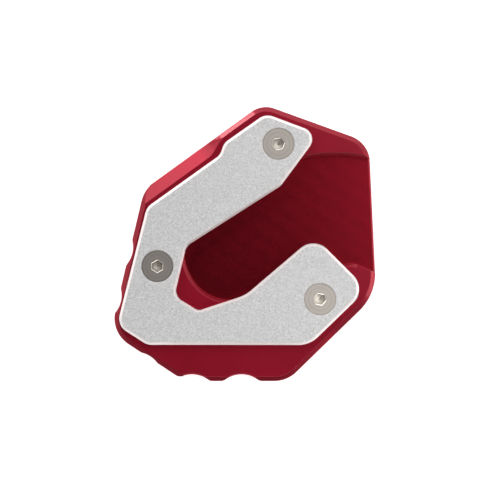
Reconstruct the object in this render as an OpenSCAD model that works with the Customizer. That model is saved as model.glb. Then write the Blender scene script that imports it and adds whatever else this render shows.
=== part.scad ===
/* [Foot] */
// Width of the foot, across the mouth of the pocket and the back edge
foot_w = 101; // [96:0.2:106]
// Length of the foot, from the scalloped lip to the nose
foot_l = 106.2; // [102:0.2:112]
// Thickness of the base plate
base_t = 13; // [12:0.5:16]
// Depth of the pocket that the side stand's own foot sits in
pocket_d = 7; // [5:0.5:8]
// Width of the chamfer round the rim of the pocket
pocket_c = 1.2; // [0.6:0.1:1.6]
// Small chamfer round the underside
sole_c = 0.8; // [0.4:0.1:1.2]

/* [Bevel] */
// Width of the bevel round the top of the base plate
bevel_w = 1.7; // [1.3:0.1:1.9]
// Width of the broad bevel beside the notch of the clamp plate
broad_w = 4.8; // [4.2:0.1:5.2]
// Height of the bevel, the same all the way round
bevel_d = 1.3; // [1:0.1:2.4]

/* [Scallops] */
// Radius of the scallops in the edge
scallop_r = 10.5; // [9:0.5:12]
// Depth of the two scallops in the front lip
lip_scallop_d = 2.6; // [2:0.1:3]
// Depth of the two scallops in the back edge
back_scallop_d = 1.25; // [1:0.05:1.4]
// Depth of the shallow scallop between them
corner_scallop_d = 0.7; // [0.5:0.1:1]
// Distance from one scallop to the next
scallop_pitch = 19.2; // [18.4:0.2:20]
// Radius of the lobes between the scallops
lobe_r = 3; // [2:0.5:3.5]
// Chamfer on the rim of the lip scallops
scallop_c = 0.5; // [0.3:0.1:0.7]

/* [Clamp plate] */
// Thickness of the clamp plate
plate_t = 4; // [3.8:0.1:5]
// Width of the bright chamfer round the clamp plate
plate_c = 0.9; // [0.5:0.1:1.2]
// Width of the very small chamfer under the clamp plate
plate_under_c = 0.2; // [0.1:0.1:0.3]

/* [Screws] */
// Thread diameter of the countersunk screws
screw_d = 6; // [5:1:6]
// Diameter of the screw heads
head_d = 12; // [11:0.2:12.2]
// Length of the screws, measured over the head
screw_l = 12; // [10:2:12]
// Width across the flats of the hexagon sockets
socket_af = 4; // [3:0.5:4]
// Depth of the hexagon sockets
socket_d = 2.2; // [1.8:0.1:2.4]
// How far the heads sit below the face of the clamp plate
head_sink = 0.1; // [0:0.05:0.2]
// Play between a screw and its hole in the clamp plate, on the diameter
hole_play = 0.4; // [0.2:0.1:0.6]

/* [Hidden] */
$fn = 96;

// The outlines run clockwise, and each corner is [x, y, radius of its rounding].
// They are drawn for a foot of drawn_w by drawn_l, and stretched to the size asked for.
drawn_w = 101;
drawn_l = 106.2;
stretch = [foot_w / drawn_w, foot_l / drawn_l];

// Outer edge of the base plate: nose, mouth top, mouth bottom, lip right, lip left, heel, back
MOUTH_EDGE = 1;
LIP_EDGE = 3;
SLANT_EDGE = 4;
BACK_EDGE = 5;
BROAD_EDGE = 6;
base_edge = sized([
    [6.8, 54.3, 9.5],
    [48.3, 39.3, 11],
    [51.05, -19.5, 20],
    [16.5, -53.1, 12],
    [-23.3, -53.1, 4],
    [-52.1, -34.15, 12],
    [-38.9, 21.25, 12.3]
]);

// Edge of the clamp plate, a C that opens to the right
plate_edge = sized([
    [8.2, 50.45, 5.6],
    [28.9, 42.7, 4.6],
    [13.9, 22.45, 5],
    [-22.55, -0.8, 5.3],
    [-27.2, -20.1, 4.6],
    [-17.95, -25.8, 3.6],
    [0.3, -19.8, 15],
    [27.0, 2.95, 7.4],
    [47.45, -17.5, 7.4],
    [25.15, -39.1, 11],
    [-37.65, -39.0, 5.7],
    [-49.4, -31.5, 5.9],
    [-37.85, 14.25, 5.7],
    [-9.6, 34.4, 5],
    [-7.8, 39.2, 5]
]);

// Wall of the pocket, the shape of the stand's own foot, open past the right edge
pocket_edge = sized([
    [-14.3, -25.5, 17.4],
    [-28.4, 2.2, 17.4],
    [9.7, 29.3, 10],
    [32.2, 37.05, 62],
    [62, 29.7, 0],
    [62, -16.2, 0],
    [41.4, -6.95, 7]
]);

// Middles of the three screws
screw_at = [for (q = [[13.1, 38.8], [-33.8, -8.6], [29.2, -21.4]]) [q[0] * stretch[0], q[1] * stretch[1]]];

// Where the broad bevel starts to narrow and where it is narrow, as shares of its edge
narrow_from = 0.485;
narrow_to = 0.655;
// Facets in each change of width, and how far its ends dip under the narrow bevel
BLEND_STEPS = 12;
DIP = 0.01;

// Where the scallops lie: the second lip scallop beside the lip's left corner,
// the slanted one and the first back one along their own edges
lip_scallop_x = -20.4 * stretch[0];
slant_scallop_at = 16.3;
back_scallop_at = 12.6;

// How far a cutting profile runs on past the bevel that it makes, as a share of it
OVER = 0.25;
// How much a rounding gives way to the flat beside it, so that the two cross cleanly
GIVE = 0.002;
// How far a cut runs into the next one
LAP = 0.8;
// How far a cut stands out of the face that it opens
clear = 1;
floor_z = base_t - pocket_d;
top_z = base_t + plate_t;
// Chamfer at the mouth of the pocket's floor
mouth_c = 0.6;

head_r = head_d / 2;
screw_r = screw_d / 2;
// Height of the cylindrical rim of a screw's head, over its cone
head_rim = 0.3;
// Chamfer at a screw's tip
tip_c = 0.8;
// Reach of the flat cone at a socket's mouth past the hexagon's corners, and its rise for its width
socket_rim = 0.4;
socket_slope = 0.6;
// Depth of the cone that the drill leaves under a socket
socket_tip = 1.1;
sink_r = head_r + head_rim + head_sink;
hole_r = (screw_d + hole_play) / 2;
thread_h = screw_l - plate_t + head_sink;
// How far a threaded hole goes on under its screw, and the slope of its drill's cone
drill_more = 1.2;
drill_slope = 0.6;
drill_h = thread_h + drill_more;

function sized(p) = [for (q = p) [q[0] * stretch[0], q[1] * stretch[1], q[2]]];
function unit(v) = v / norm(v);
function left_of(v) = [-v[1], v[0]];
function bearing(v) = atan2(v[1], v[0]);
function corner(p, i) = p[(i + len(p)) % len(p)];
function spot(p, i) = [corner(p, i)[0], corner(p, i)[1]];
function heading(p, i) = unit(spot(p, i + 1) - spot(p, i));
function turn(p, i) = atan2(cross(heading(p, i - 1), heading(p, i)), heading(p, i - 1) * heading(p, i));
function tangent(p, i) = corner(p, i)[2] * tan(abs(turn(p, i)) / 2);
function arc_in(p, i) = spot(p, i) - heading(p, i - 1) * tangent(p, i);
function arc_out(p, i) = spot(p, i) + heading(p, i) * tangent(p, i);
function arc_middle(p, i) = arc_in(p, i) + left_of(heading(p, i - 1)) * corner(p, i)[2] * sign(turn(p, i));
function along(p, i, share) = spot(p, i) + (spot(p, i + 1) - spot(p, i)) * share;
function beyond(p, m) = p + unit(p - m) * LAP;

// Farthest reach of a rounded convex outline along a direction, which places the frame's origin
function reach(p, v) = max([for (i = [0 : len(p) - 1]) arc_middle(p, i) * v + corner(p, i)[2]]);
middle = [
    (reach(base_edge, [1, 0]) - reach(base_edge, [-1, 0])) / 2,
    (reach(base_edge, [0, 1]) - reach(base_edge, [0, -1])) / 2
];

// What the rounding takes off an outer corner, or fills in an inner one
module corner_rest(p, i) {
    m = arc_middle(p, i);
    ends = turn(p, i) < 0 ? [arc_out(p, i), arc_in(p, i)] : [arc_in(p, i), arc_out(p, i)];
    difference() {
        polygon([m, beyond(ends[0], m), beyond(spot(p, i), m), beyond(ends[1], m)]);
        translate(m) circle(corner(p, i)[2] + GIVE);
    }
}

// Outline with true arcs at its corners
module rounded(p) {
    n = len(p) - 1;
    difference() {
        union() {
            polygon([for (i = [n : -1 : 0]) spot(p, i)]);
            for (i = [0 : n]) if (p[i][2] > 0 && turn(p, i) > 0) corner_rest(p, i);
        }
        for (i = [0 : n]) if (p[i][2] > 0 && turn(p, i) < 0) corner_rest(p, i);
    }
}

// Section of a bevel's cut: x outward from the edge, y up from the face. side is 1 to cut
// inside an outline and -1 to widen a hole.
module bevel_section(w, d, side) {
    polygon([
        [-side * w * (1 + OVER), d * OVER],
        [side * w * OVER, d * OVER],
        [side * w * OVER, -d * (1 + OVER)]
    ]);
}

// Straight part of a bevel's cut, from point a to point b
module bevel_bar(a, b, w, d, side) {
    translate(a)
        rotate([0, 0, bearing(b - a)])
            rotate([90, 0, 90])
                linear_extrude(norm(b - a)) bevel_section(w, d, side);
}

// Is the solid's corner i an outer one, seen from the side that the bevel cuts?
function outer(p, i, side) = side * turn(p, i) < 0;

// Ends of the straight cut on edge i. It runs out past an outer corner, where it meets nothing.
function run_out(p, i, side) = outer(p, i, side) ? tangent(p, i) : 0;
function bar_from(p, i, side) = arc_out(p, i) - heading(p, i) * run_out(p, i, side);
function bar_to(p, i, side) = arc_in(p, i + 1) + heading(p, i) * run_out(p, i + 1, side);

// Round part of a bevel's cut, about the arc of corner i. Past an inner corner it runs on a little.
module bevel_turn(p, i, w, d, side) {
    r = corner(p, i)[2];
    convex = turn(p, i) < 0;
    more = outer(p, i, side) ? 0 : LAP / r * 180 / PI;
    start = convex ? bearing(left_of(heading(p, i))) : bearing(-left_of(heading(p, i - 1)));
    translate(arc_middle(p, i))
        rotate([0, 0, start - more])
            rotate_extrude(angle = abs(turn(p, i)) + 2 * more)
                translate([r + GIVE, 0]) bevel_section(w, d, convex ? side : -side);
}

// Bevel's cut along the edges listed, each with the corner that it leaves
module bevel_round(p, w, d, side, edges) {
    for (i = edges) {
        bevel_bar(bar_from(p, i, side), bar_to(p, i, side), w, d, side);
        if (corner(p, i)[2] > 0) bevel_turn(p, i, w, d, side);
    }
}

// Part of a bevel's cut that changes width. Each station is [point on the edge, outward direction,
// width, depth].
module bevel_blend(stations) {
    n = len(stations) - 1;
    points = [for (s = stations) each [
        [each s[0] - s[1] * s[2] * (1 + OVER), s[3] * OVER],
        [each s[0] + s[1] * s[2] * OVER, s[3] * OVER],
        [each s[0] + s[1] * s[2] * OVER, -s[3] * (1 + OVER)]
    ]];
    sides = [for (i = [0 : n - 1]) for (k = [0 : 2]) let (
        a = 3 * i + k,
        b = 3 * i + (k + 1) % 3
    ) each [[a, b, b + 3], [a, b + 3, a + 3]]];
    polyhedron(points, concat([[2, 1, 0], [3 * n, 3 * n + 1, 3 * n + 2]], sides));
}

function ease(x) = (1 - cos(180 * x)) / 2;
function mix(a, b, x) = a + (b - a) * ease(x);

// The bevel widens round the back corner, stays broad, and narrows again where the clamp
// plate steps outward. At both ends it dips out of the narrow bevel that it meets.
broad_middle = arc_middle(base_edge, BROAD_EDGE);
broad_out = left_of(heading(base_edge, BROAD_EDGE));
back_out = left_of(heading(base_edge, BACK_EDGE));
widening = [for (i = [0 : BLEND_STEPS]) let (
    x = i / BLEND_STEPS,
    g = bearing(back_out) + turn(base_edge, BROAD_EDGE) * x,
    v = [cos(g), sin(g)]
) [broad_middle + v * corner(base_edge, BROAD_EDGE)[2], v, mix(bevel_w + DIP, broad_w, x), bevel_d + DIP]];
narrowing = [for (i = [0 : BLEND_STEPS]) let (
    x = i / BLEND_STEPS,
    share = narrow_from + (narrow_to - narrow_from) * x
) [along(base_edge, BROAD_EDGE, share), broad_out, mix(broad_w, bevel_w + DIP, x), bevel_d + DIP]];
blend_start = [
    arc_in(base_edge, BROAD_EDGE) - heading(base_edge, BACK_EDGE) * LAP,
    back_out,
    bevel_w - DIP,
    bevel_d - DIP
];
blend_end = [
    narrowing[BLEND_STEPS][0] + heading(base_edge, BROAD_EDGE) * LAP,
    broad_out,
    bevel_w - DIP,
    bevel_d - DIP
];

// Everything that the bevel takes off the top edge of the base plate
module base_bevel() {
    bevel_round(base_edge, bevel_w, bevel_d, 1, [0 : BACK_EDGE - 1]);
    bevel_turn(base_edge, BACK_EDGE, bevel_w, bevel_d, 1);
    bevel_bar(bar_from(base_edge, BACK_EDGE, 1), arc_in(base_edge, BROAD_EDGE), bevel_w, bevel_d, 1);
    bevel_blend(concat([blend_start], widening, narrowing, [blend_end]));
    bevel_bar(narrowing[BLEND_STEPS][0], bar_to(base_edge, BROAD_EDGE, 1), bevel_w, bevel_d, 1);
}

// Rounds the two lobes beside the scallop about the point c, on the edge that leaves corner i
module lobes(c, i) {
    u = heading(base_edge, i);
    foot = spot(base_edge, i) + u * ((c - spot(base_edge, i)) * u);
    away = norm(c - foot);
    lobe_x = sqrt(pow(scallop_r + lobe_r, 2) - pow(away + lobe_r, 2));
    touch_x = lobe_x * scallop_r / (scallop_r + lobe_r);
    touch_y = away - scallop_r * (away + lobe_r) / (scallop_r + lobe_r);
    translate([each foot, -clear])
        rotate([0, 0, bearing(u)])
            linear_extrude(base_t + 2 * clear)
                difference() {
                    polygon([
                        [-touch_x, touch_y],
                        [touch_x, touch_y],
                        [lobe_x, 0],
                        [lobe_x, away],
                        [-lobe_x, away],
                        [-lobe_x, 0]
                    ]);
                    for (s = [-1, 1]) translate([s * lobe_x, -lobe_r]) circle(lobe_r + GIVE);
                }
}

// One scallop about the point c, cut into the edge that leaves corner i
module scallop(c, i) {
    translate([each c, -clear]) cylinder(h = base_t + 2 * clear, r = scallop_r);
    lobes(c, i);
}

// Middle of a scallop of depth d, t from corner i along its edge
function scallop_middle(i, t, d) = spot(base_edge, i) + heading(base_edge, i) * t
    + left_of(heading(base_edge, i)) * (scallop_r - d);

lip_y = spot(base_edge, LIP_EDGE)[1];
lip_scallops = [for (k = [0, 1]) [
    lip_scallop_x + scallop_pitch * k,
    lip_y - scallop_r + lip_scallop_d
]];

// Cone that leaves a chamfer of width w round the edge of a hole of radius r at z = 0
module rim_chamfer(r, w) {
    translate([0, 0, -2 * w]) cylinder(h = 2 * w + clear, r1 = r - w, r2 = r + w + clear);
}

module scallops() {
    for (c = lip_scallops) {
        scallop(c, LIP_EDGE);
        translate([each c, base_t]) rim_chamfer(scallop_r, scallop_c);
    }
    lobes(lip_scallops[0], SLANT_EDGE);
    scallop(scallop_middle(SLANT_EDGE, slant_scallop_at, corner_scallop_d), SLANT_EDGE);
    for (k = [0, 1])
        scallop(scallop_middle(BACK_EDGE, back_scallop_at + scallop_pitch * k, back_scallop_d), BACK_EDGE);
}

// Pocket with its chamfered rim, and the small chamfer where its floor runs out at the mouth
module pocket() {
    translate([0, 0, floor_z]) linear_extrude(pocket_d + clear) rounded(pocket_edge);
    translate([0, 0, base_t]) bevel_round(pocket_edge, pocket_c, pocket_c, -1, [0, 1, 2, 3, 6]);
    intersection() {
        translate([0, 0, floor_z - 2 * mouth_c]) linear_extrude(pocket_d) rounded(pocket_edge);
        translate([0, 0, floor_z])
            bevel_bar(spot(base_edge, MOUTH_EDGE), spot(base_edge, MOUTH_EDGE + 1), mouth_c, mouth_c, 1);
    }
}

// Threaded hole from the top of the base plate, with the cone that its drill leaves
module tapped_hole() {
    translate([0, 0, base_t])
        rotate_extrude() polygon([
            [0, -drill_h - screw_r * drill_slope],
            [screw_r, -drill_h],
            [screw_r, clear],
            [0, clear]
        ]);
}

module base_plate() {
    color([0.51, 0.07, 0.13])
        translate([-middle[0], -middle[1], 0])
            difference() {
                linear_extrude(base_t) rounded(base_edge);
                translate([0, 0, base_t]) base_bevel();
                mirror([0, 0, 1])
                    bevel_round(base_edge, sole_c, sole_c, 1, [0 : len(base_edge) - 1]);
                scallops();
                pocket();
                for (q = screw_at) translate(q) tapped_hole();
            }
}

// Countersunk hole through the clamp plate
module countersink() {
    rotate_extrude() polygon([
        [0, -clear],
        [hole_r, -clear],
        [hole_r, plate_t - sink_r + hole_r],
        [sink_r + clear, plate_t + clear],
        [0, plate_t + clear]
    ]);
}

module clamp_plate() {
    color([0.78, 0.78, 0.79])
        translate([-middle[0], -middle[1], base_t])
            difference() {
                linear_extrude(plate_t) rounded(plate_edge);
                translate([0, 0, plate_t])
                    bevel_round(plate_edge, plate_c, plate_c, 1, [0 : len(plate_edge) - 1]);
                mirror([0, 0, 1])
                    bevel_round(plate_edge, plate_under_c, plate_under_c, 1, [0 : len(plate_edge) - 1]);
                for (q = screw_at) translate(q) countersink();
            }
}

// Countersunk screw with a hexagon socket, its head's face at z = 0
module screw() {
    socket_r = socket_af / sqrt(3);
    mouth_r = socket_r + socket_rim;
    mouth_h = mouth_r * socket_slope;
    difference() {
        rotate_extrude() polygon([
            [0, -screw_l],
            [screw_r - tip_c, -screw_l],
            [screw_r, -screw_l + tip_c],
            [screw_r, -head_rim - head_r + screw_r],
            [head_r, -head_rim],
            [head_r, 0],
            [0, 0]
        ]);
        translate([0, 0, -socket_d]) cylinder(h = socket_d + clear, r = socket_r, $fn = 6);
        translate([0, 0, -socket_d - socket_tip]) cylinder(h = 2 * socket_tip, r1 = 0, r2 = socket_af);
        translate([0, 0, -mouth_h]) cylinder(h = 2 * mouth_h, r1 = 0, r2 = 2 * mouth_r);
    }
}

module clamp_screws() {
    color([0.62, 0.6, 0.58])
        translate([-middle[0], -middle[1], top_z - head_sink])
            for (q = screw_at) translate(q) screw();
}

base_plate();
clamp_plate();
clamp_screws();
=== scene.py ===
import math

import bmesh
import bpy
from bpy.props import FloatProperty, FloatVectorProperty, PointerProperty
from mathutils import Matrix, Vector


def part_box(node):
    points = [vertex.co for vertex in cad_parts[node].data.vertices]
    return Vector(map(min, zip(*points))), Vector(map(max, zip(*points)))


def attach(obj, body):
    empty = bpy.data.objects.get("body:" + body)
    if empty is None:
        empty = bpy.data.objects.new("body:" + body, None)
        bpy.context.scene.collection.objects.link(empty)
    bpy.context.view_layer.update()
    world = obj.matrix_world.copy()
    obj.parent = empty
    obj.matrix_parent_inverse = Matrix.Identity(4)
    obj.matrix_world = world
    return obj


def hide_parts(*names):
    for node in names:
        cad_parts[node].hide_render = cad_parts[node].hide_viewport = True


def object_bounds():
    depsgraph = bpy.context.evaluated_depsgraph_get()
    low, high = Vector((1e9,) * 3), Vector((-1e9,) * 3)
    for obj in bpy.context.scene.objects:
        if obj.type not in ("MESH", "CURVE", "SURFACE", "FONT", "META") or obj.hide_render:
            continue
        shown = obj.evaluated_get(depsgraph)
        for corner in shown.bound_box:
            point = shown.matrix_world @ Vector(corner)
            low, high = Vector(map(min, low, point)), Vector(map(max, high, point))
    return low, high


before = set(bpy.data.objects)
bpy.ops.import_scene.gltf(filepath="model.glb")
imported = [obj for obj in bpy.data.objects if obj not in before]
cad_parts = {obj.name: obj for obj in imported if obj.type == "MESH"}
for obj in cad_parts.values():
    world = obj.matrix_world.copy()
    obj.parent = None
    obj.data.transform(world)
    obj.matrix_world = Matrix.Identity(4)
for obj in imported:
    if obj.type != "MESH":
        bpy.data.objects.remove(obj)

bl_info = {
    "name": "Side stand foot",
    "version": (1, 0, 0),
    "blender": (4, 5, 0),
    "location": "View3D > Sidebar > Stand Foot",
    "description": "Finishes a machined side stand foot: anodised base, blasted plate, turned screws",
    "category": "Object",
}

CAD_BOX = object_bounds()

# The photograph's frame, in its own pixels, and the point of it that lies over the frame's origin
PHOTO_SIDE = 500
PIXELS_PER_MM = 2.583
ORIGIN_AT = (244.82, 244.02)

# Where the soft boxes stand: distance in metres, then azimuth, elevation, width and height in degrees
WINDOW_AT = (0.9, 124, 58, 64, 14)
STRIP_AT = (0.9, 125.9, 15.2, 7, 6)
SIDE_AT = (0.9, -5, 21, 44, 16)
FRONT_AT = (0.5, -80, 50, 50, 14)
# Direction in which the tent's walls are brightest
BRIGHT_DEG = 92
# Panel overhead: height, length and breadth in millimetres, the direction in degrees that it lies
# in from the foot and how far off its near edge is
PANEL = (420, 420, 160, 15, 72)

# How far the floor lies under the sole, so that the two are never the same plane, and half of its
# side in metres
FLOOR_GAP_MM = 0.05
FLOOR_HALF_M = 3.0
# Watts that give a square metre of area light a radiance of 1
WATTS = 4

# Points of a copied node nearer than this are one point, and faces that meet at less than this
# are one face
MERGE_MM = 0.03
MERGE_DEG = 0.5
# What a countersink's rim may reach past its screw's head, and how high the sole's chamfer ends
SINK_MM = 1
SOLE_MM = 1.5
# Back corner, where the broad bevel meets the narrow one: middle and radius of its arc, the
# directions of the arc's ends in degrees and how far past them its last facets reach, the width
# of the bevel at both ends, its height, and how much lower the solid's facets may reach
CORNER_AT = (-28.08, 13.93)
CORNER_R = 12.302
CORNER_DEG = (125.88, 166.6)
PAST_DEG = 2.2
BEVEL_W = (4.802, 1.702)
BEVEL_H = 1.311
SAG_MM = 0.13
# Points of the crease where the two bevels cross
CREASE_STEPS = 12
# Point in the pocket that the chamfer round its rim looks towards
POCKET_AT = (15, 5)
# The broad bevel is drawn lighter towards its end as painted light: its direction in degrees, where
# along it the painted light rises and where it falls back, and the three shades
PAINTED_LIGHT_DEG = 36
PAINTED_LIGHT_UP = (-20, 6)
PAINTED_LIGHT_DOWN = (6.5, 10)
PAINTED_LIGHT = (0.98, 1.26, 0.94)

# Faces that meet at less than this are one smooth surface
SMOOTH_DEG = 12
# Height of the normal over which a face is level, and under which it is a wall
FLAT = 0.99
STEEP = 0.05
# The part of a noise's range that most of it lies in, and how rough the noise is
MOST = (0.25, 0.75)
UNEVEN = 0.6

# The screws in the order of their places from left to right: name, turn of the hexagon in
# degrees, painted light and shade of the head (the same steel drawn darker or lighter on each
# screw), painted shade of its rim next to the countersink, painted light of the socket's floor and
# mouth, and how far the punch leaned over in x and y, in millimetres at the bottom of the socket
SCREWS = (
    ("screw_back", 30, 0.58, 0.78, 0.95, 0.08, -0.04),
    ("screw_nose", 12, 0.92, 0.92, 1.0, -0.05, -0.3),
    ("screw_lip", 48, 1.08, 0.94, 1.28, -0.18, 0.16),
)
# Points in each loop round a screw, sides of its socket, loops in one turn of its thread, and how
# many of them are left out where it runs out under the head
AROUND = 96
HEX = 6
THREAD_STEPS = 8
RUN_OUT = 2
# Materials of a screw, and the slope of the chamfer at the mouth of its socket
TURNED, PRESSED, WALL = range(3)
MOUTH_DEG = 20


def mm(size):
    """Millimetres in metres."""
    return size * 0.001


def colour(code):
    """Linear colour of an sRGB hex code."""
    parts = [int(code[i:i + 2], 16) / 255 for i in (1, 3, 5)]
    return tuple(p / 12.92 if p <= 0.04045 else ((p + 0.055) / 1.055) ** 2.4 for p in parts)


def tint(name, about, code):
    """A colour property."""
    return FloatVectorProperty(
        name=name, description=about, subtype="COLOR", size=3, min=0, max=1, default=colour(code)
    )


def length(name, about, size_mm):
    """A length property."""
    return FloatProperty(name=name, description=about, unit="LENGTH", default=mm(size_mm), min=0)


def share(name, about, value):
    """A property from 0 to 1."""
    return FloatProperty(name=name, description=about, subtype="FACTOR", default=value, min=0, max=1)


def radiance(name, about, value):
    """A property for the light of a surface, where 1 shows as white."""
    return FloatProperty(name=name, description=about, default=value, min=0)


class BasePlateFinish(bpy.types.PropertyGroup):
    dye: tint("Dye", "Red of the anodised metal", "#9E172D")
    deep: tint("Pocket dye", "Red of the pocket, which is milled smooth and looks deeper", "#A3182A")
    edge: length("Edge", "Radius that tumbling leaves on every edge", 0.15)
    grain: length("Grain", "Size of the blasted grain, drawn coarse enough to show", 0.7)
    gloss: share("Roughness", "Roughness of the dyed metal", 0.5)
    seal: share("Seal", "Strength of the clear sealed layer over the dye", 0.6)


class ClampPlateFinish(bpy.types.PropertyGroup):
    metal: tint("Metal", "Grey of the blasted face", "#E7E6E6")
    cut: tint("Cut", "White of the bright cut chamfer", "#F8EDEC")
    edge: length("Edge", "Radius left on every edge", 0.06)
    grain: length("Grain", "Size of the blasted grain, drawn coarse enough to show", 0.6)
    gloss: share("Roughness", "Roughness of the blasted face", 0.55)


class ScrewShape(bpy.types.PropertyGroup):
    metal: tint("Metal", "Warm grey of the turned head", "#D2CAC2")
    bright: tint("Socket metal", "Brighter grey of the pressed socket", "#E4DCD0")
    head_rim: length("Head rim", "Height of the rim over the head's cone", 0.3)
    head_edge: length("Head edge", "Chamfer round the head's face", 0.12)
    shank_r: length("Shank radius", "Outer radius of the thread", 2.97)
    root: length("Thread depth", "Depth of the thread", 0.55)
    pitch: length("Pitch", "Rise of the thread in one turn", 1.0)
    socket_af: length("Socket", "Width across the flats of the hexagon socket", 4.0)
    socket_d: length("Socket depth", "Depth of the hexagon socket", 2.2)
    socket_rim: length("Socket chamfer", "Width of the chamfer round the socket's mouth", 0.28)
    socket_draft: length("Socket draft", "How much each flat of the socket closes in at the bottom", 0.06)
    drill_r: length("Drill radius", "Radius of the drilled floor inside the hexagon", 1.8)
    dimple: length("Dimple", "Radius of the small dimple in the middle of the socket", 0.35)
    drill: length("Drill cone", "Depth of the cone that the drill leaves under the socket", 0.25)
    tip: length("Tip chamfer", "Chamfer at the tip", 0.8)
    rings: length("Rings", "Distance between the turned rings that show", 0.8)
    # Painted shade: the width of the darker rim drawn on the head next to the countersink
    painted_shade: length("Shaded rim", "Width of the dark rim where oil stays on the head", 0.6)


class Studio(bpy.types.PropertyGroup):
    lens: FloatProperty(name="Lens", description="Focal length", unit="CAMERA", default=800, min=50)
    tent: radiance("Tent", "Light of the tent's sloping walls", 0.86)
    turn: share("Turn", "How much brighter the tent is at one side", 0.88)
    low: share("Low", "Light of the upright walls against the sloping ones", 1.0)
    foot: share("Foot", "Light along the foot of the walls, the same all round", 1.0)
    roof: share("Roof", "Light of the dark roof that the camera hangs in", 0.05)
    window: radiance("Window", "Light of the soft box high at the back left", 1.8)
    strip: radiance("Strip", "Light of the strip low at the back left", 8.8)
    front: radiance("Front", "Light of the soft box high at the front", 2.6)
    side: radiance("Side", "Light of the soft box low at the right", 1.6)
    panel: radiance("Panel", "Light of the panel overhead at the right", 1.12)
    floor: tint("Floor", "Colour of the pale floor", "#F4F4F4")
    floor_glow: radiance("Floor glow", "Light that comes through the floor", 0.78)


def add(tree, kind, inputs=None, **settings):
    """Adds a node with its settings and links."""
    node = tree.nodes.new(kind)
    for key, value in settings.items():
        setattr(node, key, value)
    for socket, value in (inputs or {}).items():
        if isinstance(value, bpy.types.NodeSocket):
            tree.links.new(value, node.inputs[socket])
        else:
            node.inputs[socket].default_value = value
    return node


def metal(name, shade, roughness, coat=0.0, coat_roughness=0.1):
    """A new metal material with its tree and shader."""
    material = bpy.data.materials.new(name)
    material.use_nodes = True
    tree = material.node_tree
    tree.nodes.clear()
    shader = add(tree, "ShaderNodeBsdfPrincipled", {
        "Base Color": (*shade, 1),
        "Metallic": 1.0,
        "Roughness": roughness,
        "Coat Weight": coat,
        "Coat Roughness": coat_roughness,
    })
    add(tree, "ShaderNodeOutputMaterial", {"Surface": shader.outputs["BSDF"]})
    return material, tree, shader


def millimetres(tree, centre=(0, 0, 0), turn=0.0):
    """Object coordinates in millimetres from a centre."""
    place = add(tree, "ShaderNodeTexCoord")
    moved = add(tree, "ShaderNodeVectorMath", {0: place.outputs["Object"], 1: centre}, operation="SUBTRACT")
    return add(tree, "ShaderNodeMapping", {
        "Vector": moved.outputs[0],
        "Rotation": (0, 0, turn),
        "Scale": (1000, 1000, 1000),
    }).outputs["Vector"]


def toned(tree, shader, shade, pattern, low, high):
    """Makes the base colour lighter and darker with a 0 to 1 pattern."""
    spread = add(tree, "ShaderNodeMapRange", {
        "Value": pattern,
        "From Min": MOST[0],
        "From Max": MOST[1],
        "To Min": low,
        "To Max": high,
    }).outputs["Result"]
    scaled = add(tree, "ShaderNodeVectorMath", {0: shade, 3: spread}, operation="SCALE")
    tree.links.new(scaled.outputs[0], shader.inputs["Base Color"])


def clouded(tree, shader, shade, place, size, low, high, detail=2.0):
    """Makes the base colour lighter and darker in clouds about size metres across."""
    clouds = add(tree, "ShaderNodeTexNoise", {
        "Vector": place, "Scale": mm(1) / size, "Detail": detail, "Roughness": UNEVEN,
    }).outputs["Fac"]
    toned(tree, shader, shade, clouds, low, high)


def grained(tree, shader, place, size, depth, detail=2.0):
    """Raises the surface in grains about size metres across and depth metres high."""
    grains = add(tree, "ShaderNodeTexNoise", {
        "Vector": place, "Scale": mm(1) / size, "Detail": detail, "Roughness": UNEVEN,
    }).outputs["Fac"]
    raised = add(tree, "ShaderNodeBump", {"Height": grains, "Distance": depth, "Strength": 1.0})
    tree.links.new(raised.outputs["Normal"], shader.inputs["Normal"])


def anodised_satin(s):
    """Aluminium, bead blasted and dyed red, on the top and round the pocket's rim: a soft grain with
    a slightly uneven dye."""
    material, tree, shader = metal(
        "anodised_aluminium_satin", s.dye, roughness=s.gloss, coat=s.seal * 0.8, coat_roughness=0.22
    )
    place = millimetres(tree)
    clouded(tree, shader, s.dye, place, size=mm(14), low=0.94, high=1.06)
    grained(tree, shader, place, size=s.grain, depth=mm(0.012), detail=3.0)
    return material


def anodised_cut(s):
    """Aluminium, cut with a chamfer mill and dyed red: smoother and glossier, with painted light that
    makes the colour lighter towards one end of the broad bevel."""
    material, tree, shader = metal(
        "anodised_aluminium_cut", s.dye, roughness=0.32, coat=s.seal, coat_roughness=0.14
    )
    place = millimetres(tree)
    # Painted light: the colour rises and falls along the broad bevel's direction
    turn = -math.radians(PAINTED_LIGHT_DEG)
    along = add(tree, "ShaderNodeMapping", {"Vector": place, "Rotation": (0, 0, turn)}).outputs["Vector"]
    reach = add(tree, "ShaderNodeSeparateXYZ", {"Vector": along}).outputs["X"]
    slopes = {}
    for places, shades in ((PAINTED_LIGHT_UP, PAINTED_LIGHT[:2]), (PAINTED_LIGHT_DOWN, PAINTED_LIGHT[1:])):
        slopes[len(slopes)] = add(tree, "ShaderNodeMapRange", {
            "Value": reach,
            "From Min": places[0],
            "From Max": places[1],
            "To Min": shades[0],
            "To Max": shades[1],
        }).outputs["Result"]
    lighter = add(tree, "ShaderNodeMath", slopes, operation="MINIMUM").outputs[0]
    # The red dye with the painted light on it
    dyed = add(tree, "ShaderNodeVectorMath", {0: s.dye, 3: lighter}, operation="SCALE").outputs[0]
    clouded(tree, shader, dyed, place, size=mm(5), low=0.95, high=1.05)
    grained(tree, shader, place, size=mm(0.5), depth=mm(0.002))
    return material


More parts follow.
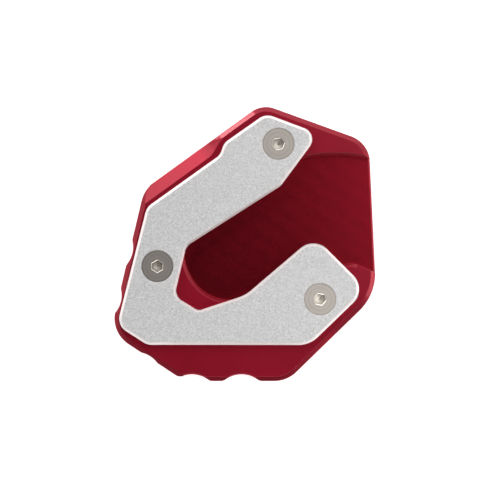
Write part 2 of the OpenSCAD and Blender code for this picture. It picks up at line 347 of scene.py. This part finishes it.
def anodised_side(s):
    """Aluminium side wall, milled with the flank of the cutter: fine upright lines."""
    material, tree, shader = metal(
        "anodised_aluminium_side", s.dye, roughness=0.36, coat=s.seal, coat_roughness=0.15
    )
    place = millimetres(tree)
    lines = add(tree, "ShaderNodeMapping", {"Vector": place, "Scale": (1, 1, 0.06)}).outputs["Vector"]
    clouded(tree, shader, s.dye, lines, size=mm(1.2), low=0.92, high=1.08)
    grained(tree, shader, lines, size=mm(0.45), depth=mm(0.01), detail=3.0)
    return material


def anodised_floor(s):
    """Aluminium pocket floor, milled in passes and dyed red: broad faint tool tracks."""
    material, tree, shader = metal(
        "anodised_aluminium_pocket", s.deep, roughness=0.27, coat=s.seal / 5, coat_roughness=0.25
    )
    place = millimetres(tree, turn=math.radians(35))
    tracks = add(tree, "ShaderNodeTexWave", {
        "Vector": place, "Scale": 0.05, "Distortion": 0.6, "Detail": 1.0,
    }, wave_type="BANDS", bands_direction="Y", wave_profile="SIN").outputs["Fac"]
    toned(tree, shader, s.deep, tracks, low=0.97, high=1.03)
    grained(tree, shader, place, size=mm(0.6), depth=mm(0.01), detail=3.0)
    return material


def anodised_sole(s):
    """Aluminium underside, faced with a wide cutter and dyed red: overlapping arcs."""
    material, tree, shader = metal(
        "anodised_aluminium_sole", s.dye, roughness=0.38, coat=s.seal, coat_roughness=0.15
    )
    place = millimetres(tree, centre=(0.0, mm(-160), 0.0))
    arcs = add(tree, "ShaderNodeTexWave", {
        "Vector": place, "Scale": 0.28, "Distortion": 0.3, "Detail": 1.0,
    }, wave_type="RINGS", rings_direction="Z", wave_profile="SAW").outputs["Fac"]
    clouded(tree, shader, s.dye, place, size=mm(9), low=0.94, high=1.06)
    raised = add(tree, "ShaderNodeBump", {"Height": arcs, "Distance": mm(0.006), "Strength": 1.0})
    tree.links.new(raised.outputs["Normal"], shader.inputs["Normal"])
    return material


def blasted_face(s):
    """Aluminium, bead blasted and anodised clear: an even pale grey speckle without gloss."""
    material, tree, shader = metal("blasted_aluminium", s.metal, roughness=s.gloss)
    place = millimetres(tree)
    clouded(tree, shader, s.metal, place, size=s.grain, low=0.74, high=1.2, detail=3.0)
    grained(tree, shader, place, size=s.grain, depth=mm(0.03), detail=3.0)
    return material


def bright_cut(s):
    """Aluminium chamfer cut with a diamond tool after anodising: bare, bright and almost white."""
    material, tree, shader = metal("diamond_cut_aluminium", s.cut, roughness=0.52)
    grained(tree, shader, millimetres(tree), size=mm(0.4), depth=mm(0.002))
    return material


def turned_steel(s, name, centre, head_r, head, rim):
    """Stainless steel, turned on a lathe: uneven concentric rings about the screw's own axis, and a
    painted shade: a darker rim at the head's edge, next to the countersink."""
    # Painted light and shade: the head's steel is drawn darker or lighter on each screw
    shade = tuple(c * head for c in s.metal)
    material, tree, shader = metal("turned_steel_" + name, shade, roughness=0.45)
    place = millimetres(tree, (*centre.xy, 0))
    flat = add(tree, "ShaderNodeVectorMath", {0: place, 1: (1, 1, 0)}, operation="MULTIPLY")
    radius = add(tree, "ShaderNodeVectorMath", {0: flat.outputs[0]}, operation="LENGTH").outputs["Value"]
    rings = add(tree, "ShaderNodeTexNoise", {
        "W": radius, "Scale": mm(1) / s.rings, "Detail": 1.5, "Roughness": UNEVEN,
    }, noise_dimensions="1D").outputs["Fac"]
    # Painted shade: the head is drawn darker in a rim at its edge, next to the countersink
    rim_shade = add(tree, "ShaderNodeMapRange", {
        "Value": radius,
        "From Min": (head_r - s.painted_shade) / mm(1),
        "From Max": (head_r - s.painted_shade / 2) / mm(1),
        "To Min": 1.0,
        "To Max": rim,
    }).outputs["Result"]
    head_with_rim_shade = add(tree, "ShaderNodeVectorMath", {0: shade, 3: rim_shade}, operation="SCALE").outputs[0]
    toned(tree, shader, head_with_rim_shade, rings, low=0.88, high=1.1)
    raised = add(tree, "ShaderNodeBump", {"Height": rings, "Distance": mm(0.012), "Strength": 1.0})
    tree.links.new(raised.outputs["Normal"], shader.inputs["Normal"])
    return material


def pressed_steel(s, name, floor):
    """Stainless steel, pressed by the socket's punch, on its floor and mouth: smoother than the head,
    and brighter, partly as its own colour and partly as painted light, at a level for each screw."""
    # Painted light: each screw's socket floor and mouth are drawn at their own brightness
    shade = tuple(c * floor for c in s.bright)
    material, tree, shader = metal("pressed_steel_" + name, shade, roughness=0.36)
    clouded(tree, shader, shade, millimetres(tree), size=mm(1.6), low=0.9, high=1.06)
    return material


def socket_wall_steel(s, name, head):
    """Stainless steel inside the socket: dull, and drawn darker than the socket's floor as painted shade in
    the recess.
    """
    # Painted shade: the walls take the head's level of painted light and shade, darker than the floor
    shade = tuple(c * head for c in s.metal)
    material, tree, shader = metal("socket_wall_steel_" + name, shade, roughness=0.6)
    clouded(tree, shader, shade, millimetres(tree), size=mm(0.8), low=0.7, high=1.2)
    return material


def merged_copy(node):
    """A bmesh of a CAD node with its points joined and its flat faces made whole."""
    bm = bmesh.new()
    bm.from_mesh(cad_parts[node].data)
    bmesh.ops.remove_doubles(bm, verts=bm.verts, dist=mm(MERGE_MM))
    flat = math.radians(MERGE_DEG)
    bmesh.ops.dissolve_limit(bm, angle_limit=flat, verts=bm.verts, edges=bm.edges, delimit={"NORMAL"})
    return bm


def piece_of(name, bm, materials, replaced, edge=0.0, above=0.0, crisp=()):
    """Finishes a bmesh as a piece that rides on the part and stands for a CAD node. Its sharp edges
    that lie higher than above are rounded with a radius of edge, all but the crisp ones."""
    bmesh.ops.recalc_face_normals(bm, faces=bm.faces)
    weight = bm.edges.layers.float.new("bevel_weight_edge")
    for line in bm.edges:
        high = sum(v.co.z for v in line.verts) / 2 > above
        if high and line not in crisp and line.calc_face_angle(0) > math.radians(SMOOTH_DEG):
            line[weight] = 1
    mesh = bpy.data.meshes.new(name)
    bm.to_mesh(mesh)
    bm.free()
    for material in materials:
        mesh.materials.append(material)
    mesh.shade_smooth()
    mesh.set_sharp_from_angle(angle=math.radians(SMOOTH_DEG))
    piece = bpy.data.objects.new(name, mesh)
    bpy.context.collection.objects.link(piece)
    if edge:
        rounding = piece.modifiers.new("edge", "BEVEL")
        rounding.width = edge
        rounding.segments = 2
        rounding.limit_method = "WEIGHT"
        rounding.use_clamp_overlap = False
        even = piece.modifiers.new("even", "WEIGHTED_NORMAL")
        even.mode = "FACE_AREA"
        even.weight = 100
    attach(piece, "root")
    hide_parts(replaced)
    return piece


def cut_corner(bm, top):
    """Lets the broad bevel run on as one plane round the back corner, till the narrow bevel crosses
    it. In the solid the bevel narrows by degrees there. Returns the edges where the two cross."""
    middle = Vector(CORNER_AT) * mm(1)
    start, end = (math.radians(a) for a in CORNER_DEG)
    broad, narrow = (mm(w) for w in BEVEL_W)
    radius, drop, near = mm(CORNER_R), mm(BEVEL_H), mm(MERGE_MM)
    span, past = end - start, math.radians(PAST_DEG)

    def polar(vert):
        arm = vert.co.xy - middle
        return math.atan2(arm.y, arm.x) - start, arm.length

    def placed(vert, turn, reach):
        angle = start + turn
        vert.co.xy = middle + Vector((math.cos(angle), math.sin(angle))) * reach

    ring = []
    for vert in bm.verts:
        turn, reach = polar(vert)
        on_bevel = radius - broad - near < reach < radius + near and vert.co.z > top - drop - mm(SAG_MM)
        if on_bevel and -past < turn < span + past:
            ring.append(vert)
    ring.sort(key=lambda vert: polar(vert)[0])
    inner = [vert for vert in ring if vert.co.z > top - near]
    outer = [vert for vert in ring if vert.co.z < top - near]
    old = [face for face in bm.faces if set(ring).issuperset(face.verts)]
    bmesh.ops.delete(bm, geom=old, context="FACES")

    # The plane's upper rim is straight, and its last point lies where the narrow bevel's rim meets it
    for vert in outer[1:-1]:
        vert.co.z = top - drop
    for vert in inner[1:-1]:
        turn = polar(vert)[0]
        placed(vert, turn, (radius - broad) / math.cos(turn))
    placed(inner[-1], span, radius - narrow)
    slide = ((radius - narrow) * math.cos(span) - (radius - broad)) / math.sin(span)
    inner[-1].co.xy += Vector((-math.sin(end), math.cos(end))) * slide

    # The crease rises to that point through the places where the plane and the cone are level
    crossing = [outer[0]]
    steep, gentle = drop / narrow, drop / broad
    for step in range(1, CREASE_STEPS + 1):
        turn = span * step / CREASE_STEPS
        width = gentle * radius * (1 - math.cos(turn)) / (steep - gentle * math.cos(turn))
        vert = bmesh.ops.create_vert(bm, co=(0, 0, top - drop + steep * width))["vert"][0]
        placed(vert, turn, radius - width)
        crossing.append(vert)
    crossing.append(inner[-1])

    def edges_of(chain):
        return [bm.edges.get(pair) for pair in zip(chain, chain[1:])]

    crease = []
    for pair in zip(crossing, crossing[1:]):
        crease += bmesh.ops.contextual_create(bm, geom=pair)["edges"]
    bmesh.ops.contextual_create(bm, geom=crease + edges_of([outer[0], *inner]))
    bmesh.ops.triangle_fill(bm, edges=crease + edges_of([*outer, inner[-1]]), use_beauty=True)
    bmesh.ops.recalc_face_normals(bm, faces=bm.faces)
    return crease


class FOOT_OT_base_plate(bpy.types.Operator):
    """Finish the red base plate: blasted top, cut bevels, milled sides, pocket and sole"""

    bl_idname = "foot.base_plate"
    bl_label = "Base plate"

    def execute(self, context):
        s = context.scene.foot_base
        finishes = [anodised_satin(s), anodised_cut(s), anodised_side(s), anodised_floor(s), anodised_sole(s)]
        satin, cut, side, floor, sole = range(len(finishes))
        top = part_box("base_plate")[1].z
        bm = merged_copy("base_plate")
        crease = cut_corner(bm, top)
        for face in bm.faces:
            up = face.normal.z
            place = face.calc_center_median()
            inward = (Vector(POCKET_AT) * mm(1) - place.xy).dot(face.normal.xy) > 0
            if up > FLAT:
                face.material_index = satin if place.z > top - mm(BEVEL_H) else floor
            elif up < -FLAT:
                face.material_index = sole
            elif up > STEEP:
                face.material_index = satin if inward else cut
            else:
                face.material_index = side
        piece_of("foot_base", bm, finishes, "base_plate", s.edge, mm(SOLE_MM), crease)
        return {"FINISHED"}


class FOOT_OT_clamp_plate(bpy.types.Operator):
    """Finish the clamp plate: blasted faces with a bright cut chamfer round them"""

    bl_idname = "foot.clamp_plate"
    bl_label = "Clamp plate"

    def execute(self, context):
        s = context.scene.foot_clamp
        finishes = [blasted_face(s), bright_cut(s)]
        blasted, cut = range(len(finishes))
        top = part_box("clamp_plate")[1].z
        screws = [((low + high) / 2, (high.x - low.x) / 2 + mm(SINK_MM)) for low, high in screw_boxes()]
        bm = merged_copy("clamp_plate")
        for face in bm.faces:
            slanted = STEEP < face.normal.z < FLAT
            reaches_top = max(v.co.z for v in face.verts) > top - mm(MERGE_MM)
            middle = face.calc_center_median()
            countersunk = any((middle - centre).xy.length < reach for centre, reach in screws)
            face.material_index = cut if slanted and reaches_top and not countersunk else blasted
        piece_of("foot_clamp", bm, finishes, "clamp_plate", s.edge)
        return {"FINISHED"}


def islands(bm):
    """The separate closed shells of a bmesh, each as its list of points."""
    left = set(bm.verts)
    found = []
    while left:
        grown = [left.pop()]
        for vert in grown:
            for edge in vert.link_edges:
                other = edge.other_vert(vert)
                if other in left:
                    left.remove(other)
                    grown.append(other)
        found.append(grown)
    return found


def screw_boxes():
    """Lowest and highest corner of each screw, from left to right."""
    copy = merged_copy("clamp_screws")
    boxes = []
    for points in islands(copy):
        low = Vector([min(v.co[i] for v in points) for i in range(3)])
        high = Vector([max(v.co[i] for v in points) for i in range(3)])
        boxes.append((low, high))
    copy.free()
    return sorted(boxes, key=lambda box: box[0].x)


def hex_reach(angle, flats, turn):
    """Distance from a hexagon's middle to its edge at an angle."""
    sector = 2 * math.pi / HEX
    return flats / 2 / math.cos((angle - turn) % sector - sector / 2)


def moved(verts, reach, height):
    """Moves a loop of points to a radius and height, each a number or a function of the angle."""
    for vert in verts:
        angle = math.atan2(vert.co.y, vert.co.x)
        r = reach(angle) if callable(reach) else reach
        z = height(angle) if callable(height) else height
        vert.co = Vector((r * math.cos(angle), r * math.sin(angle), z))


def edges_at(verts):
    """The edges that end at points, each once and in the points' order."""
    return list(dict.fromkeys(edge for vert in verts for edge in vert.link_edges))


def turned(bm, loops):
    """A wall round the axis through a list of loops, each given with the material of the wall
    that leads to it. Returns the edges of the two open ends."""
    verts = bmesh.ops.create_circle(bm, cap_ends=False, radius=1, segments=AROUND)["verts"]
    moved(verts, *loops[0][:2])
    start = edges = edges_at(verts)
    for reach, height, material in loops[1:]:
        grown = bmesh.ops.extrude_edge_only(bm, edges=edges)["geom"]
        verts = [item for item in grown if isinstance(item, bmesh.types.BMVert)]
        edges = [edge for edge in edges_at(verts) if set(verts).issuperset(edge.verts)]
        moved(verts, reach, height)
        for face in {face for edge in edges for face in edge.link_faces}:
            face.material_index = material
    return start, edges


def thread_reach(s, z):
    """Radius of the thread at a height, for each angle: a triangle wave that climbs one pitch a turn."""
    def reach(angle):
        phase = (z / s.pitch - angle / (2 * math.pi)) % 1
        return s.shank_r - s.root * abs(2 * phase - 1)
    return reach


def screw_rings(s, head_r, screw_l, turn):
    """Loops of a countersunk screw from the bottom of its socket out over the head to its tip."""
    mouth_depth = s.socket_rim * math.tan(math.radians(MOUTH_DEG))

    def socket(angle):
        return hex_reach(angle, s.socket_af, turn)

    def mouth(angle):
        return hex_reach(angle, s.socket_af + 2 * s.socket_rim, turn)

    def socket_end(angle):
        return hex_reach(angle, s.socket_af - 2 * s.socket_draft, turn)

    cone_end = -s.head_rim - (head_r - s.shank_r)
    thread_end = -screw_l + s.tip
    count = round((cone_end - thread_end) / s.pitch * THREAD_STEPS) - RUN_OUT
    thread = [cone_end - s.pitch * (k + RUN_OUT) / THREAD_STEPS for k in range(count)]
    return [
        (s.dimple, -s.socket_d - s.drill * (1 - s.dimple / s.drill_r), WALL),
        (s.drill_r, -s.socket_d, PRESSED),
        (socket_end, -s.socket_d, WALL),
        (socket, -mouth_depth, WALL),
        (mouth, 0, PRESSED),
        (head_r - s.head_edge, 0, TURNED),
        (head_r, -s.head_edge, TURNED),
        (head_r, -s.head_rim, TURNED),
        (s.shank_r, cone_end, TURNED),
        *[(thread_reach(s, z), z, TURNED) for z in thread],
        (s.shank_r - s.root / 2, thread_end, TURNED),
        (s.shank_r - s.tip, -screw_l, TURNED),
    ]


class FOOT_OT_clamp_screws(bpy.types.Operator):
    """Make the countersunk screws with their sockets and threads, one piece each"""

    bl_idname = "foot.clamp_screws"
    bl_label = "Clamp screws"

    def execute(self, context):
        s = context.scene.foot_screws
        # head, rim and floor are each screw's levels of painted light and shade
        for (name, turn, head, rim, floor, *lean), (low, high) in zip(SCREWS, screw_boxes(), strict=True):
            centre = (low + high) / 2
            head_r = (high.x - low.x) / 2
            bm = bmesh.new()
            dimple, tip = turned(bm, screw_rings(s, head_r, high.z - low.z, math.radians(turn)))
            for edges, sink, material in ((dimple, s.dimple / 2, WALL), (tip, 0, TURNED)):
                filled = bmesh.ops.contextual_create(bm, geom=edges)["faces"]
                filled[0].material_index = material
                for vert in bmesh.ops.poke(bm, faces=filled)["verts"]:
                    vert.co.z -= sink
            # All that the leaning punch pressed leans with it
            inside = s.socket_af / math.sqrt(3)
            for vert in bm.verts:
                if vert.co.xy.length < inside and vert.co.z > -s.socket_d - s.drill:
                    vert.co.xy -= Vector(lean) * mm(vert.co.z / s.socket_d)
            bmesh.ops.translate(bm, verts=bm.verts, vec=(centre.x, centre.y, high.z))
            steels = [
                turned_steel(s, name, centre, head_r, head, rim),
                pressed_steel(s, name, floor),
                socket_wall_steel(s, name, head),
            ]
            piece_of(name, bm, steels, "clamp_screws")
        return {"FINISHED"}


def wall_light(tree, height, stops):
    """Light of the tent at a height, from a list of elevations in degrees and levels."""
    ramp = add(tree, "ShaderNodeValToRGB", {"Fac": height})
    elements = ramp.color_ramp.elements
    for element, (_, level) in zip(elements, (stops[0], stops[-1])):
        element.color = (level, level, level, 1)
    for degrees, level in stops:
        elements.new(math.sin(math.radians(degrees))).color = (level, level, level, 1)
    return ramp.outputs["Color"]


def light_tent(s):
    """World light of a white tent: upright walls under sloping ones that are brighter at one side,
    a foot that is lit evenly, and a dark roof where the camera hangs."""
    world = bpy.data.worlds.new("light_tent")
    bpy.context.scene.world = world
    world.use_nodes = True
    tree = world.node_tree
    tree.nodes.clear()
    direction = add(tree, "ShaderNodeTexCoord").outputs["Generated"]
    height = add(tree, "ShaderNodeSeparateXYZ", {"Vector": direction}).outputs["Z"]
    # Elevations in degrees, each with the light there
    foot = wall_light(tree, height, ((8, s.foot), (12, 0)))
    walls = wall_light(tree, height, (
        (9, 0), (14, s.low), (19, s.low), (24, s.low / 2), (31, s.low / 2), (38, 1), (47, 1), (53, s.roof),
    ))
    flat = add(tree, "ShaderNodeVectorMath", {0: direction, 1: (1, 1, 0)}, operation="MULTIPLY")
    level = add(tree, "ShaderNodeVectorMath", {0: flat.outputs[0]}, operation="NORMALIZE")
    bright = math.radians(BRIGHT_DEG)
    facing = add(tree, "ShaderNodeVectorMath", {
        0: level.outputs[0], 1: (math.cos(bright), math.sin(bright), 0),
    }, operation="DOT_PRODUCT").outputs["Value"]
    side = add(tree, "ShaderNodeMath", {0: facing, 1: s.turn * s.tent, 2: s.tent}, operation="MULTIPLY_ADD")
    light = add(tree, "ShaderNodeMath", {0: walls, 1: side.outputs[0], 2: foot}, operation="MULTIPLY_ADD")
    sky = add(tree, "ShaderNodeBackground", {"Color": (1, 1, 1, 1), "Strength": light.outputs[0]})
    add(tree, "ShaderNodeOutputWorld", {"Surface": sky.outputs["Background"]})


def area_light(name, level, width, height):
    """A rectangular light of a radiance, with its sides in metres, that the camera doesn't see."""
    light = bpy.data.lights.new(name, "AREA")
    light.shape = "RECTANGLE"
    light.size, light.size_y = width, height
    light.energy = WATTS * level * width * height
    box = bpy.data.objects.new(name, light)
    box.visible_camera = False
    bpy.context.collection.objects.link(box)
    return box


def soft_box(name, level, away, azimuth, elevation, width, height):
    """An area light that faces the foot from a distance and direction and spans two angles."""
    a, e = math.radians(azimuth), math.radians(elevation)
    toward = Vector((math.cos(a) * math.cos(e), math.sin(a) * math.cos(e), math.sin(e)))
    sides = [2 * away * math.tan(math.radians(angle / 2)) for angle in (width, height)]
    box = area_light(name, level, *sides)
    box.location = toward * away
    box.rotation_euler = toward.to_track_quat("Z", "Y").to_euler()


def overhead_panel(level, height, long, broad, azimuth, near):
    """A level soft box overhead, off to one side, so that what lies under it shines more."""
    turn = math.radians(azimuth)
    reach = mm(near + broad / 2)
    box = area_light("panel", level, mm(broad), mm(long))
    box.location = (reach * math.cos(turn), reach * math.sin(turn), mm(height))
    box.rotation_euler = (0, 0, turn)


def pale_floor(s):
    """White acrylic lit a little from below, so that what stands on it has only a faint shadow."""
    material = bpy.data.materials.new("floor_acrylic")
    material.use_nodes = True
    shader = material.node_tree.nodes["Principled BSDF"]
    shader.inputs["Base Color"].default_value = (*s.floor, 1)
    shader.inputs["Roughness"].default_value = 0.7
    shader.inputs["Emission Color"].default_value = (*s.floor, 1)
    shader.inputs["Emission Strength"].default_value = s.floor_glow
    bm = bmesh.new()
    bmesh.ops.create_grid(bm, x_segments=1, y_segments=1, size=FLOOR_HALF_M)
    bmesh.ops.translate(bm, verts=bm.verts, vec=(0, 0, -mm(FLOOR_GAP_MM)))
    mesh = bpy.data.meshes.new("floor")
    bm.to_mesh(mesh)
    bm.free()
    mesh.materials.append(material)
    floor = bpy.data.objects.new("floor", mesh)
    bpy.context.collection.objects.link(floor)


class FOOT_OT_studio(bpy.types.Operator):
    """Set up the camera straight above the foot, the light tent, the soft boxes and the floor"""

    bl_idname = "foot.studio"
    bl_label = "Studio"

    def execute(self, context):
        s = context.scene.foot_studio
        middle = [PHOTO_SIDE / 2 - ORIGIN_AT[0], ORIGIN_AT[1] - PHOTO_SIDE / 2]
        x, y = (mm(p / PIXELS_PER_MM) for p in middle)
        lens = bpy.data.cameras.new("camera")
        lens.lens = s.lens
        shown = mm(PHOTO_SIDE / PIXELS_PER_MM)
        camera = bpy.data.objects.new("camera", lens)
        camera.location = (x, y, CAD_BOX[1][2] + shown * lens.lens / lens.sensor_width)
        context.collection.objects.link(camera)
        context.scene.camera = camera

        light_tent(s)
        pale_floor(s)

        soft_box("window", s.window, *WINDOW_AT)
        soft_box("strip", s.strip, *STRIP_AT)
        soft_box("side", s.side, *SIDE_AT)
        soft_box("front", s.front, *FRONT_AT)
        overhead_panel(s.panel, *PANEL)

        view = context.scene.view_settings
        view.view_transform = "Standard"
        view.look = "None"
        return {"FINISHED"}


STEPS = (FOOT_OT_studio, FOOT_OT_base_plate, FOOT_OT_clamp_plate, FOOT_OT_clamp_screws)
SETTINGS = {
    "foot_studio": Studio,
    "foot_base": BasePlateFinish,
    "foot_clamp": ClampPlateFinish,
    "foot_screws": ScrewShape,
}


class FOOT_PT_panel(bpy.types.Panel):
    """Lists the steps that make the foot, with their settings"""

    bl_idname = "FOOT_PT_panel"
    bl_label = "Stand Foot"
    bl_space_type = "VIEW_3D"
    bl_region_type = "UI"
    bl_category = "Stand Foot"

    def draw(self, context):
        for step, name in zip(STEPS, SETTINGS):
            box = self.layout.box()
            box.operator(step.bl_idname)
            for key in SETTINGS[name].__annotations__:
                box.prop(getattr(context.scene, name), key)


def register():
    for kind in (*SETTINGS.values(), *STEPS, FOOT_PT_panel):
        bpy.utils.register_class(kind)
    for name, kind in SETTINGS.items():
        setattr(bpy.types.Scene, name, PointerProperty(type=kind))


def unregister():
    for name in SETTINGS:
        delattr(bpy.types.Scene, name)
    for kind in (FOOT_PT_panel, *reversed(STEPS), *reversed(SETTINGS.values())):
        bpy.utils.unregister_class(kind)


def main():
    """Runs the steps in order."""
    register()
    bpy.ops.foot.studio()
    bpy.ops.foot.base_plate()
    bpy.ops.foot.clamp_plate()
    bpy.ops.foot.clamp_screws()


if __name__ == "__main__":
    main()
